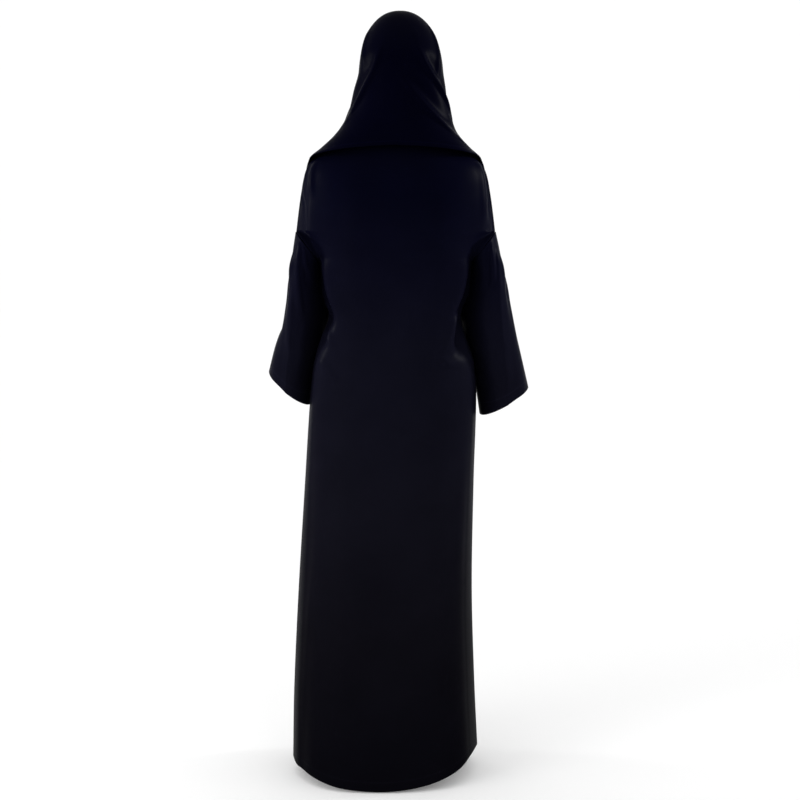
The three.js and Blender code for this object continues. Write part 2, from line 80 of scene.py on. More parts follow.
profile = [(floor_reach, 0.0)]
for step in range(sweep_steps + 1):
    bend = math.radians(90) * step / sweep_steps
    profile.append((-floor_reach - sweep_radius * math.sin(bend), sweep_radius * (1 - math.cos(bend))))
profile.append((-floor_reach - sweep_radius, wall_height))
bm = bmesh.new()
lines = [[bm.verts.new((side * studio_width / 2, y, hem_level - floor_gap + z)) for y, z in profile]
         for side in (-1, 1)]
for k in range(len(profile) - 1):
    bm.faces.new((lines[0][k], lines[0][k + 1], lines[1][k + 1], lines[1][k])).smooth = True
bmesh.ops.recalc_face_normals(bm, faces=bm.faces)
studio = bpy.data.meshes.new("studio")
bm.to_mesh(studio)
bm.free()
floor = bpy.data.objects.new("studio", studio)
bpy.context.scene.collection.objects.link(floor)
floor.data.materials.append(paint(
    "pale_studio", Base_Color=(0.88, 0.88, 0.88, 1), Roughness=0.9, Specular_IOR_Level=0.1,
    Emission_Color=(1, 1, 1, 1), Emission_Strength=0.12,
)[0])

surround = bpy.data.worlds.new("surround")
surround.use_nodes = True
surround_light = surround.node_tree.nodes["Background"]
surround_light.inputs["Color"].default_value = (1, 1, 1, 1)
surround_light.inputs["Strength"].default_value = 1.0
bpy.context.scene.world = surround
bpy.context.scene.view_settings.view_transform = "Standard"


def soft_light(name, place, aim, size, power, spread=180):
    """A round lamp at a place, turned to an aim. The spread is its beam's angle in degrees."""
    lamp = bpy.data.lights.new(name, "AREA")
    lamp.spread = math.radians(spread)
    lamp.shape, lamp.size, lamp.energy = "DISK", size, power
    light = bpy.data.objects.new(name, lamp)
    light.location = place
    light.rotation_euler = (Vector(aim) - Vector(place)).to_track_quat("-Z", "Y").to_euler()
    bpy.context.scene.collection.objects.link(light)


soft_light("left_softbox", (1.9, -0.45, -0.05), (0.2, 0, -0.45), 0.34, 3, 50)
soft_light("right_softbox", (-1.9, -0.45, 0.15), (-0.2, 0, -0.40), 0.28, 4, 50)
soft_light("left_window", (2.6, 2.2, -0.5), (0.1, 0, -0.6), 2.0, 40)


# ---- robe_back: the back of the robe, one panel of crepe from the neck to the hem ----
# It is cut wide, so it stands off the arms, is caught in at the waist by its own weight, and
# hangs straight to a narrow turned hem. It is sewn to the front at the shoulders and the sides.

cloth_thickness = 0.0014


def smooth(start, end, value):
    t = np.clip((value - start) / (end - start), 0, 1)
    return t * t * (3 - 2 * t)


def reader(keys, **columns):
    """Reads any column of a table at any value of its key, on a smooth curve through the rows."""
    keys = np.array(keys, float)

    def read(value, column):
        rows = np.array(columns[column], float)
        slopes = np.empty_like(rows)
        slopes[1:-1] = (rows[2:] - rows[:-2]) / (keys[2:] - keys[:-2])
        slopes[0] = (rows[1] - rows[0]) / (keys[1] - keys[0])
        slopes[-1] = (rows[-1] - rows[-2]) / (keys[-1] - keys[-2])
        value = np.clip(np.asarray(value, float), keys[0], keys[-1])
        low = np.clip(np.searchsorted(keys, value, side="right") - 1, 0, len(keys) - 2)
        span = keys[low + 1] - keys[low]
        t = (value - keys[low]) / span
        return (
            rows[low] * (1 + 2 * t) * (1 - t) ** 2
            + rows[low + 1] * t * t * (3 - 2 * t)
            + slopes[low] * span * t * (1 - t) ** 2
            - slopes[low + 1] * span * t * t * (1 - t)
        )

    return read


def unit_section(turn, squareness):
    """The point of a unit superellipse in the direction of a turn, sideways and in depth."""
    across, deep = np.sin(np.radians(turn)), np.abs(np.cos(np.radians(turn)))
    reach = (np.abs(across) ** squareness + deep**squareness) ** (-1 / squareness)
    return across * reach, deep * reach


body = reader(
    (0, 0.150, 0.360, 0.600, 0.800, 0.870, 0.923, 0.968, 1.020, 1.085),
    half_width=(0.198, 0.193, 0.185, 0.179, 0.175, 0.168, 0.152, 0.1395, 0.151, 0.1575),
    shift=(0.032, 0.034, 0.032, 0.023, 0.014, 0.013, 0.014, 0.0105, 0.010, 0.0095),
    back=(0.162, 0.152, 0.142, 0.133, 0.124, 0.115, 0.107, 0.104, 0.107, 0.112),
    front=(-0.160, -0.153, -0.144, -0.136, -0.128, -0.125, -0.122, -0.121, -0.124, -0.129),
    seam_y=(0, 0, 0, -0.001, -0.004, -0.006, -0.008, -0.009, -0.011, -0.012),
    squareness=(2.3, 2.3, 2.3, 2.4, 2.5, 2.6, 2.7, 2.8, 2.9, 3),
)
underarm = 1.085
armhole = {"x": 0.1825, "y": -0.012, "height": 1.1175, "half_width": 0.0265, "rise": 0.0325,
           "back": 0.064, "front": 0.063}
shoulder = reader(
    (1, 1.18, 1.36, 1.52, 1.62, 1.72, 1.86, 2),
    x=(0.209, 0.204, 0.198, 0.190, 0.178, 0.158, 0.121, 0.084),
    y=(-0.012, -0.011, -0.009, -0.006, -0.004, -0.002, 0, 0),
    height=(1.150, 1.190, 1.230, 1.268, 1.291, 1.307, 1.331, 1.354),
)
centre = reader(
    (0, 0.5, 1, 1.36, 1.62, 1.82, 2),
    back=(0.112, 0.115, 0.117, 0.118, 0.110, 0.088, 0.062),
    back_height=(1.085, 1.112, 1.143, 1.203, 1.266, 1.314, 1.343),
    front=(-0.129, -0.132, -0.134, -0.131, -0.117, -0.104, -0.095),
    front_height=(1.085, 1.110, 1.138, 1.185, 1.236, 1.272, 1.300),
    trunk=(0.156, 0.157, 0.160, 0.168, 0.164, 0.124, 0.084),
    squareness=(3, 2.9, 2.7, 2.5, 2.3, 2.2, 2.2),
)
yoke_shift = 0.009
hem_line = reader(
    (-180, -135, -90, -60, -45, -25, 0, 25, 50, 70, 90, 135, 180),
    height=(0.014, 0.027, 0.049, 0.044, 0.031, 0.010, 0, 0.0045, 0.018, 0.023, 0.024, 0.018, 0.014),
)


def folds_out(folds, turn, level):
    """How far soft folds push the cloth out. A row is from (turn, level) to (turn, level), the
    width in degrees, the depth, and the shares of its length over which it rises and falls."""
    out = np.zeros(np.broadcast(turn, level).shape)
    for start, end, width, depth, rise, fall in folds:
        t = (level - start[1]) / (end[1] - start[1])
        middle = start[0] + (end[0] - start[0]) * np.clip(t, 0, 1)
        fade = smooth(-0.3, rise, t) * (1 - smooth(1 - fall, 1.3, t))
        out = out + depth * fade * np.exp(-(((turn - middle) / width) ** 2))
    return out


def creases_out(creases, turn, level):
    """How far narrow creases push the cloth out. A row is from (turn, level) to (turn, level), the
    bend of its path (1 is straight), the width in degrees and the depth. Each dies out softly at
    both ends, and its side away from the middle of the back is the softer one."""
    out = np.zeros(np.broadcast(turn, level).shape)
    for start, end, bend, width, depth in creases:
        t = (level - start[1]) / (end[1] - start[1])
        middle = start[0] + (end[0] - start[0]) * np.clip(t, 0, 1) ** bend
        off = ((turn - middle + 180) % 360 - 180) / width
        off = np.where(off * (start[0] + end[0]) > 0, off / 1.7, off)
        out = out + depth * smooth(-0.12, 0.25, t) * (1 - smooth(0.7, 1.12, t)) * np.exp(-(off**2))
    return out


def robe_points(side, turn, row, folds, creases):
    """Points of one panel of the robe. Rows run from -1 at the hem to 0 at the underarm, on to 1
    along the armhole, and to 2 along the shoulder. Turns run 90 degrees each way."""
    facing = 1 if side == "back" else -1
    full_turn = turn if side == "back" else 180 - turn
    to_side = np.abs(turn) / 90
    below = row <= 0
    hem = hem_line(np.where(full_turn > 180, full_turn - 360, full_turn), "height")
    level = np.where(below, underarm * (row + 1), centre(row, "back_height"))
    skirt_height = underarm * (1 + row) - hem * row
    along = np.radians(180 * np.clip(row, 0, 1) - 90)
    in_armhole = (row > 0) & (row < 1)

    def pick(at_body, at_armhole, at_shoulder):
        return np.where(below, at_body, np.where(in_armhole, at_armhole, at_shoulder))

    edge_x = pick(body(level, "half_width"), armhole["x"] + armhole["half_width"] * np.sin(along),
                  shoulder(row, "x"))
    seam_y = pick(body(level, "seam_y"), armhole["y"], shoulder(row, "y"))
    edge_y = pick(seam_y, armhole["y"] + facing * armhole[side] * np.cos(along), seam_y)
    edge_height = pick(skirt_height, armhole["height"] + armhole["rise"] * np.sin(along),
                       shoulder(row, "height"))
    middle_y = np.where(below, body(level, side), centre(row, side))
    middle_height = np.where(below, skirt_height, centre(row, side + "_height"))
    squareness = np.where(below, body(level, "squareness"), centre(row, "squareness"))
    trunk = np.where(below, edge_x, centre(row, "trunk"))
    shift = np.where(below, body(level, "shift"), yoke_shift)

    # The section round the body, drawn at its sides towards the seam or the armhole.
    across, deep = unit_section(turn, squareness)
    x = trunk * across + np.sign(turn) * (edge_x - trunk) * smooth(0.4, 1, to_side)
    y = seam_y + (middle_y - seam_y) * deep
    beside_sleeve = smooth(0, 0.3, row) * (1 - smooth(0.6, 1, row))
    y = y + (edge_y - y) * smooth(0.72 - 0.12 * beside_sleeve, 1 - 0.10 * beside_sleeve, to_side)
    height = edge_height + (middle_height - edge_height) * deep**2

    # The seams hold the folds back, apart from the side seams of the skirt.
    to_edge = 1 - smooth(0.78, 1, to_side)
    held = np.where(row > 0, to_edge, to_edge + (1 - to_edge) * smooth(0, 0.25, -row))
    out = folds_out(folds, full_turn, level) * held
    out = out + creases_out(creases, full_turn, level) * (1 - smooth(0.92, 1, to_side))
    reach = np.hypot(across, deep)
    return np.stack(
        [shift + x + out * across / reach, y + out * facing * deep / reach, hem_level + height],
        axis=-1,
    )


def cloth_sheet(name, points, wraps=False, keep=None, zero_row=0):
    """A sheet of cloth through a grid of points, rows by columns, with a UV map in metres whose
    upright distances are counted from one of the rows. It wraps when its last column meets its
    first, and it has only the cells to keep."""
    rows, columns = points.shape[:2]
    across = columns if wraps else columns - 1
    i, j = np.meshgrid(np.arange(rows - 1), np.arange(across), indexing="ij")
    corners = [
        i * columns + j,
        i * columns + (j + 1) % columns,
        (i + 1) * columns + (j + 1) % columns,
        (i + 1) * columns + j,
    ]
    faces = np.stack(corners, axis=-1)
    if keep is not None:
        faces = faces[keep[: rows - 1, :across]]
    faces = faces.reshape(-1, 4)
    mesh = bpy.data.meshes.new(name)
    mesh.from_pydata(points.reshape(-1, 3).tolist(), [], faces.tolist())

    down = np.linalg.norm(np.diff(points, axis=0), axis=2).mean(axis=1)
    sideways = np.linalg.norm(np.diff(points, axis=1), axis=2).mean(axis=0)
    v = np.concatenate([[0], np.cumsum(down)])
    v = v - v[zero_row]
    u = np.concatenate([[0], np.cumsum(sideways), [np.sum(sideways) + sideways.mean()]])
    column, row = faces % columns, faces // columns
    if wraps:
        last = (column == 0) & (column.max(axis=1, keepdims=True) == columns - 1)
        column = np.where(last, columns, column)
    layer = mesh.uv_layers.new(name="cloth")
    layer.data.foreach_set("uv", np.stack([u[column], v[row]], axis=-1).ravel())
    mesh.polygons.foreach_set("use_smooth", [True] * len(mesh.polygons))
    sheet = bpy.data.objects.new(name, mesh)
    bpy.context.scene.collection.objects.link(sheet)
    return sheet


def give_thickness(sheet):
    wall = sheet.modifiers.new("cloth", "SOLIDIFY")
    wall.thickness, wall.offset, wall.use_even_offset = cloth_thickness, 0, False
    bpy.ops.object.select_all(action="DESELECT")
    bpy.context.view_layer.objects.active = sheet
    sheet.select_set(True)
    bpy.ops.object.modifier_apply(modifier=wall.name)


stitch_length, stitch_space, stitch_below_edge, stitch_half_width = 0.0022, 0.0008, 0.0018, 0.0004
garment_height = 1.6


def crepe(name, painted_light_rows):
    """Black crepe: dull, finely pebbled blue-black cloth whose colour is painted lighter and darker
    down the garment as painted light and shade, with the row of stitches that holds its turned hem.
    Each row of the height table is a height above the hem and the colour painted there."""
    material, shader = paint(name, Roughness=0.36, Specular_IOR_Level=0.0022)
    tree = material.node_tree

    def add(kind, **values):
        node = tree.nodes.new("ShaderNode" + kind)
        for socket, value in values.items():
            node.inputs[socket.replace("_", " ")].default_value = value
        return node

    def add_math(operation, *values):
        node = tree.nodes.new("ShaderNodeMath")
        node.operation = operation
        for socket, value in zip(node.inputs, values):
            socket.default_value = value
        return node

    # The colour at each height, which carries painted light and shade, worn a little lighter and
    # darker in soft patches.
    place = add("TexCoord")
    apart = add("SeparateXYZ")
    height = add("MapRange", From_Min=hem_level, From_Max=hem_level + garment_height)
    painted_light_ramp = add("ValToRGB")
    spots = painted_light_ramp.color_ramp.elements
    spots.remove(spots[1])
    for k, (level, colour) in enumerate(painted_light_rows):
        spot = spots.new(level / garment_height) if k else spots[0]
        spot.position, spot.color = level / garment_height, colour + (1,)
    weave = add("UVMap")
    weave.uv_map = "cloth"
    mottle = add("TexNoise", Scale=9, Detail=5)
    amount = add("MapRange", To_Min=0.75, To_Max=1.25)
    painted_light_and_mottle = add("VectorMath")
    painted_light_and_mottle.operation = "SCALE"
    tree.links.new(place.outputs["Object"], apart.inputs["Vector"])
    tree.links.new(apart.outputs["Z"], height.inputs["Value"])
    tree.links.new(height.outputs["Result"], painted_light_ramp.inputs["Fac"])
    tree.links.new(weave.outputs["UV"], mottle.inputs["Vector"])
    tree.links.new(mottle.outputs["Fac"], amount.inputs["Value"])
    tree.links.new(painted_light_ramp.outputs["Color"], painted_light_and_mottle.inputs["Vector"])

    # The stitches stand up from the cloth and are painted lighter than it, as a painted sheen on the
    # thread. The map's upright distance is zero at the upper edge of the turned hem, and they run just
    # below that edge.
    measure = add("SeparateXYZ")
    stitch_line = add_math("COMPARE", 0, -stitch_below_edge, stitch_half_width)
    stitch_place = add_math("WRAP", 0, stitch_length + stitch_space, 0)
    thread = add_math("LESS_THAN", 0, stitch_length)
    stitch = add_math("MULTIPLY")
    mottle_and_stitch_sheen = add_math("MULTIPLY_ADD", 0, 1.5)
    tree.links.new(weave.outputs["UV"], measure.inputs["Vector"])
    tree.links.new(measure.outputs["Y"], stitch_line.inputs[0])
    tree.links.new(measure.outputs["X"], stitch_place.inputs[0])
    tree.links.new(stitch_place.outputs["Value"], thread.inputs[0])
    tree.links.new(stitch_line.outputs["Value"], stitch.inputs[0])
    tree.links.new(thread.outputs["Value"], stitch.inputs[1])
    tree.links.new(stitch.outputs["Value"], mottle_and_stitch_sheen.inputs[0])
    tree.links.new(amount.outputs["Result"], mottle_and_stitch_sheen.inputs[2])
    tree.links.new(mottle_and_stitch_sheen.outputs["Value"], painted_light_and_mottle.inputs["Scale"])
    tree.links.new(painted_light_and_mottle.outputs["Vector"], shader.inputs["Base Color"])

    # The pebbled surface of crepe, about 0.7 mm from pebble to pebble.
    grain = add("TexNoise", Scale=1500, Detail=2)
    raised = add_math("MULTIPLY_ADD", 0, 4)
    relief = add("Bump", Distance=0.0003, Strength=0.3)
    tree.links.new(weave.outputs["UV"], grain.inputs["Vector"])
    tree.links.new(stitch.outputs["Value"], raised.inputs[0])
    tree.links.new(grain.outputs["Fac"], raised.inputs[2])
    tree.links.new(raised.outputs["Value"], relief.inputs["Height"])
    tree.links.new(relief.outputs["Normal"], shader.inputs["Normal"])
    return material


# The robe's colours by height are painted light and shade: darker at the hem as a painted floor
# shadow, lightest over the hips and skirt as painted light, and darker up the back to the shoulders as
# painted shade.
robe_crepe = crepe("robe_crepe", [
    (0, (0.0018, 0.0017, 0.0029)),
    (0.30, (0.0030, 0.0028, 0.0046)),
    (0.60, (0.0039, 0.0038, 0.0069)),
    (0.90, (0.0034, 0.0034, 0.0074)),
    (1.05, (0.0022, 0.0022, 0.0064)),
    (1.22, (0.0009, 0.0010, 0.0046)),
    (1.36, (0.0009, 0.0009, 0.0043)),
])

# from (turn, height), to (turn, height), width, depth, rise, fall
back_folds = [
    ((-54, 1.250), (-56, 1.100), 12, -0.003, 0.5, 0.2),
    ((54, 1.250), (56, 1.100), 12, -0.003, 0.5, 0.2),
    ((-58, 1.090), (-42, 0.905), 10, 0.009, 0.2, 0.3),
    ((-74, 1.080), (-56, 0.900), 9, -0.015, 0.3, 0.4),
    ((60, 1.090), (48, 0.950), 10, 0.007, 0.2, 0.5),
    ((74, 1.080), (62, 0.930), 9, -0.011, 0.3, 0.5),
    ((50, 0.960), (56, 0.780), 10, 0.004, 0.4, 0.6),
    ((-34, 0.620), (-42, 0), 12, 0.006, 0.6, 0),
    ((-64, 0.700), (-66, 0), 9, -0.005, 0.6, 0),
    ((62, 0.700), (60, 0), 10, -0.006, 0.5, 0),
    ((24, 0.560), (28, 0), 14, 0.004, 0.7, 0),
]
# from (turn, height), to (turn, height), bend, width, depth
back_creases = [
    ((-88, 1.000), (-30, 0.880), 0.4, 4, 0.0060),
    ((-72, 0.975), (-46, 0.880), 0.7, 6, -0.0060),
    ((-32, 0.890), (-39, 0.862), 1.0, 3, 0.0030),
    ((-78, 1.125), (-84, 0.985), 1.0, 5, 0.0055),
    ((78, 1.120), (84, 0.985), 1.0, 5, 0.0045),
    ((-80, 1.170), (-68, 1.120), 1.0, 3, 0.0035),
    ((88, 1.000), (47, 0.905), 0.6, 4, 0.0045),
    ((74, 0.985), (56, 0.900), 0.8, 6, -0.0050),
    ((56, 0.885), (40, 0.835), 1.0, 5, 0.0030),
    ((-71, 1.290), (-68, 1.150), 1.0, 3, 0.0045),
    ((-79, 1.260), (-77, 1.130), 1.0, 4, -0.0040),
    ((70, 1.290), (64, 1.200), 1.0, 3, 0.0035),
    ((80, 1.280), (74, 1.190), 1.0, 3, 0.0035),
    ((78, 1.200), (68, 1.110), 1.0, 4, -0.0040),
    ((-52, 0.640), (-50, 0.400), 1.0, 5, 0.0020),
    ((56, 0.420), (62, 0.060), 1.0, 5, 0.0025),
    ((18, 0.760), (10, 0.560), 1.0, 6, 0.0012),
    ((-20, 1.020), (-8, 0.930), 1.0, 6, 0.0012),
    ((30, 1.060), (16, 0.960), 1.0, 7, 0.0012),
]

hem_turn, hem_inset, hem_depth = 5, 0.0018, 0.020  # rows turned up, how far inside, how deep
hem_top_row = 2 * hem_turn + 1
panel_columns, lower_rows, waist_rows, waist_level = 161, 100, 85, -0.3
easing_passes, eased_rows = 60, 8


def outward(points, wraps=False):
    """The outward direction at each point of a grid. Its rows run upwards, and its columns run
    from the right to the left across the back of the garment."""
    if wraps:
        padded = np.concatenate([points[:, -1:], points, points[:, :1]], axis=1)
        sideways = padded[:, 2:] - padded[:, :-2]
    else:
        sideways = np.gradient(points, axis=1)
    along = np.gradient(points, axis=0)
    out = np.cross(along, sideways)
    return out / np.maximum(np.linalg.norm(out, axis=2, keepdims=True), 1e-9)


def turn_edge(points, out):
    """Folds the cloth back inside along its first row, as a turned hem."""
    inside = points[1 : hem_turn + 1][::-1] - hem_inset * out[1 : hem_turn + 1][::-1]
    along = points[:1] - points[1:2]
    along = along / np.linalg.norm(along, axis=2, keepdims=True)
    fold = points[:1] - hem_inset / 2 * out[:1] + hem_inset / 2 * along
    return np.concatenate([inside, fold, points])


def robe_panel(name, side, folds, creases, upper_rows):
    turn = np.linspace(-90, 90, panel_columns)[None, :]
    hem_top = hem_depth / underarm - 1
    row = np.concatenate([
        np.linspace(-1, hem_top, hem_turn, endpoint=False),
        np.linspace(hem_top, waist_level, lower_rows, endpoint=False),
        np.linspace(waist_level, 0, waist_rows, endpoint=False),
        np.linspace(0, 2, upper_rows),
    ])[:, None]
    points = robe_points(side, turn, row, folds, creases)

    # The cloth runs on smoothly past the underarm, where the skirt meets the yoke.
    from_underarm = np.arange(len(row)) - (hem_turn + lower_rows + waist_rows)
    ease = np.exp(-((from_underarm / eased_rows) ** 2))[1:-1, None, None]
    ease = ease * (1 - smooth(0.85, 1, np.abs(turn) / 90))[..., None]
    for _ in range(easing_passes):
        points[1:-1] += 0.25 * ease * (points[:-2] + points[2:] - 2 * points[1:-1])
    out = outward(points) * (-1 if side == "front" else 1)
    points = turn_edge(points, out)
    if side == "front":
        points = points[:, ::-1]
    sheet = cloth_sheet(name, points, zero_row=hem_top_row)
    sheet.data.materials.append(robe_crepe)
    give_thickness(sheet)
    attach(sheet, "root")
    return sheet


robe_back = robe_panel("robe_back_panel", "back", back_folds, back_creases, upper_rows=108)
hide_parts("robe_back")


# ---- robe_front: the front of the robe, one closed panel of the same crepe ----
# It hangs from the shoulders and the chest in soft upright folds, with a lower neckline than
# the back. The veil covers its upper part.

front_folds = [
    ((126, 1.080), (138, 0), 8, 0.009, 0.5, 0),
    ((144, 1.110), (156, 0), 7, -0.009, 0.4, 0),
    ((165, 1.060), (172, 0), 8, 0.009, 0.4, 0),
    ((186, 1.010), (189, 0), 8, -0.008, 0.5, 0),
    ((206, 1.100), (207, 0), 9, 0.010, 0.4, 0),
    ((226, 1.060), (224, 0), 7, -0.008, 0.5, 0),
    ((240, 1.080), (242, 0), 8, 0.007, 0.5, 0),
    ((108, 0.840), (112, 0), 8, -0.006, 0.4, 0),
    ((112, 1.060), (112, 0.980), 11, -0.007, 0.2, 0.3),
    ((248, 1.060), (248, 0.980), 11, -0.007, 0.2, 0.3),
]
front_creases = [
    ((100, 0.995), (138, 0.900), 0.5, 4, 0.0050),
    ((116, 0.970), (136, 0.880), 0.8, 6, -0.0050),
    ((262, 1.000), (222, 0.905), 0.5, 4, 0.0050),
    ((248, 0.975), (226, 0.890), 0.8, 6, -0.0050),
    ((150, 1.090), (162, 1.000), 1.0, 5, 0.0025),
    ((212, 1.080), (200, 0.985), 1.0, 5, 0.0025),
    ((176, 0.900), (170, 0.780), 1.0, 6, 0.0015),
    ((130, 0.760), (128, 0.500), 1.0, 5, 0.0020),
    ((234, 0.690), (236, 0.380), 1.0, 5, 0.0025),
]

robe_front = robe_panel("robe_front_panel", "front", front_folds, front_creases, upper_rows=88)
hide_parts("robe_front")


# ---- sleeve_left and sleeve_right: wide straight sleeves, each of one piece of crepe ----
# Each is set into its dropped armhole and falls over the arm, a little forward of it, to a
# wide turned cuff whose outer edge hangs higher than its inner one.

sleeve_rings = {
    "left": reader(
        (0, 0.15, 0.42, 0.62, 0.72, 0.82, 1),
        x=(0.1935, 0.1955, 0.198, 0.206, 0.2145, 0.2235, 0.2345),
        y=(-0.012, -0.016, -0.024, -0.031, -0.036, -0.041, -0.050),
        height=(1.116, 1.072, 1.000, 0.944, 0.914, 0.881, 0.818),
        half_width=(0.0252, 0.030, 0.036, 0.036, 0.0395, 0.0405, 0.0435),
        half_depth=(0.062, 0.062, 0.065, 0.068, 0.069, 0.071, 0.074),
        slant=(0.032, 0.024, 0.018, 0.018, 0.021, 0.025, 0.035),
        dip=(0, 0.004, 0.014, 0.020, 0.018, 0.013, 0.004),
        twist=(0, 13, 22, 23, 17, 13, 7),
    ),
    "right": reader(
        (0, 0.15, 0.42, 0.62, 0.72, 0.82, 1),
        x=(0.1755, 0.1795, 0.184, 0.194, 0.202, 0.209, 0.222),
        y=(-0.012, -0.016, -0.022, -0.028, -0.032, -0.036, -0.044),
        height=(1.116, 1.070, 0.992, 0.931, 0.898, 0.861, 0.790),
        half_width=(0.0252, 0.032, 0.0445, 0.047, 0.0465, 0.0475, 0.050),
        half_depth=(0.062, 0.062, 0.065, 0.068, 0.069, 0.071, 0.074),
        slant=(0.032, 0.024, 0.018, 0.018, 0.020, 0.023, 0.029),
        dip=(0, 0.004, 0.012, 0.020, 0.017, 0.011, 0.001),
        twist=(0, 13, 22, 23, 17, 15, 7),
    ),
}
sleeve_folds = [
    ((28, 0.02), (60, 0.36), 15, 0.005, 0.2, 0.5),
    ((66, 0), (40, 0.5), 14, -0.005, 0.5, 0.4),
    ((96, 0.3), (96, 1), 20, 0.003, 0.5, 0),
    ((20, 0.5), (14, 1), 18, -0.004, 0.6, 0),
    ((150, 0.2), (140, 1), 16, -0.005, 0.5, 0),
    ((190, 0.3), (180, 1), 18, 0.004, 0.5, 0),
    ((222, 0.32), (222, 0.8), 20, 0.0078, 0.2, 0.2),
]
sleeve_creases = {
    "left": [
        ((40, 0.0), (-28, 0.47), 0.5, 8, 0.0050),
        ((22, 0.0), (-24, 0.12), 0.6, 7, 0.0045),
        ((4, 0.02), (-36, 0.24), 0.6, 9, -0.0030),
        ((12, 0.33), (-6, 0.74), 1.0, 9, 0.0030),
        ((-40, 0.42), (-34, 0.86), 1.0, 9, 0.0020),
        ((150, 0.0), (200, 0.40), 0.6, 9, 0.0050),
        ((140, 0.02), (172, 0.24), 0.7, 8, 0.0035),
    ],
    "right": [
        ((32, 0.0), (-12, 0.24), 0.5, 7, 0.0060),
        ((33, 0.07), (4, 0.32), 0.6, 6, 0.0035),
        ((8, 0.03), (-30, 0.26), 0.6, 9, -0.0035),
        ((6, 0.30), (-9, 0.62), 1.0, 8, 0.0030),
        ((-42, 0.40), (-36, 0.90), 1.0, 9, 0.0020),
        ((146, 0.0), (196, 0.36), 0.6, 9, 0.0050),
        ((138, 0.03), (168, 0.28), 0.7, 8, 0.0035),
    ],
}
sleeve_columns, lower_rings, upper_rings = 150, 55, 50
cuff_hem_top, upper_ring = 0.935, 0.3


def sleeve_points(side, turn, ring):
    """Points of a sleeve. Rings run from 0 at the armhole to 1 at the cuff, and turns from 0 at
    the back through 90 on the outer side."""
    read = sleeve_rings[side]
    outer = 1 if side == "left" else -1
    signed = (turn + 180) % 360 - 180
    fold = folds_out(sleeve_folds, turn, ring) * smooth(0, 0.2, ring)
    fold = fold + creases_out(sleeve_creases[side], signed, ring) * smooth(0, 0.04, ring)
    sine, cosine = np.sin(np.radians(turn)), np.cos(np.radians(turn))
    across = (read(ring, "half_width") + fold) * sine
    fuller = np.where(cosine > 0, armhole["back"], armhole["front"]) - read(0, "half_depth")
    deep = (read(ring, "half_depth") + fuller * (1 - smooth(0, 0.45, ring)) + fold) * cosine
    twist = np.radians(read(ring, "twist"))
    return np.stack(
        [
            outer * (read(ring, "x") + across * np.cos(twist) + deep * np.sin(twist)),
            read(ring, "y") + deep * np.cos(twist) - across * np.sin(twist),
            hem_level + read(ring, "height") + read(ring, "slant") * sine - read(ring, "dip") * cosine,
        ],
        axis=-1,
    )


def sleeve(side):
    outer = 1 if side == "left" else -1
    turn = np.linspace(0, 360, sleeve_columns, endpoint=False)[None, ::outer]
    ring = np.concatenate([
        np.linspace(1, cuff_hem_top, hem_turn, endpoint=False),
        np.linspace(cuff_hem_top, upper_ring, lower_rings, endpoint=False),
        np.linspace(upper_ring, 0, upper_rings),
    ])[:, None]
    points = sleeve_points(side, turn, ring)
    points = turn_edge(points, outward(points, wraps=True))
    sheet = cloth_sheet(f"sleeve_{side}_tube", points, wraps=True, zero_row=hem_top_row)
    sheet.data.materials.append(robe_crepe)
    give_thickness(sheet)
    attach(sheet, "root")
    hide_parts(f"sleeve_{side}")
    return sheet


sleeves = [sleeve("left"), sleeve("right")]


# ---- veil_hood: the head veil, one cloth drawn over the head and closed round the face ----
# It is a finer and slightly deeper black crepe. It is pulled smooth over the head, falls in a few
# tension folds to the shoulders, and lies on the robe down to a narrow hem.

crown_height, dome_start, dome_roundness = 1.6013, 1.480, 2.2
veil_section = reader(
    (0.960, 1.100, 1.200, 1.260, 1.300, 1.320, 1.345, 1.370, 1.400, 1.440, 1.480, 1.602),
    half_width=(0.176, 0.188, 0.196, 0.192, 0.178, 0.156, 0.131, 0.115, 0.104, 0.0955, 0.087, 0.082),
    shift=(0.005, 0.006, 0.008, 0.009, 0.010, 0.009, 0.007, 0.004, 0.002, 0, -0.002, 0),
    back=(0.128, 0.128, 0.128, 0.127, 0.112, 0.109, 0.107, 0.105, 0.104, 0.104, 0.104, 0.100),
    front=(-0.150, -0.144, -0.137, -0.125, -0.110, -0.098, -0.089, -0.084, -0.084, -0.087, -0.090,
           -0.088),
    squareness=(2.2, 2.3, 2.5, 2.6, 2.5, 2.3, 2.2, 2.1, 2.1, 2.2, 2.3, 2.2),
)
face = {"turn": 42, "height": 1.466, "half_height": 0.088}
veil_edge = reader(
    (0, 30, 60, 84, 98, 108, 126, 145, 163, 180),
    height=(1.321, 1.317, 1.309, 1.301, 1.284, 1.244, 1.182, 1.096, 1.010, 0.988),
)
veil_folds = [
    ((196, 1.350), (214, 0.960), 7, 0.007, 0.3, 0),
    ((178, 1.345), (186, 0.960), 7, -0.006, 0.4, 0),
    ((162, 1.350), (152, 0.960), 8, 0.008, 0.3, 0),
    ((144, 1.340), (132, 1.040), 7, -0.006, 0.4, 0),
]
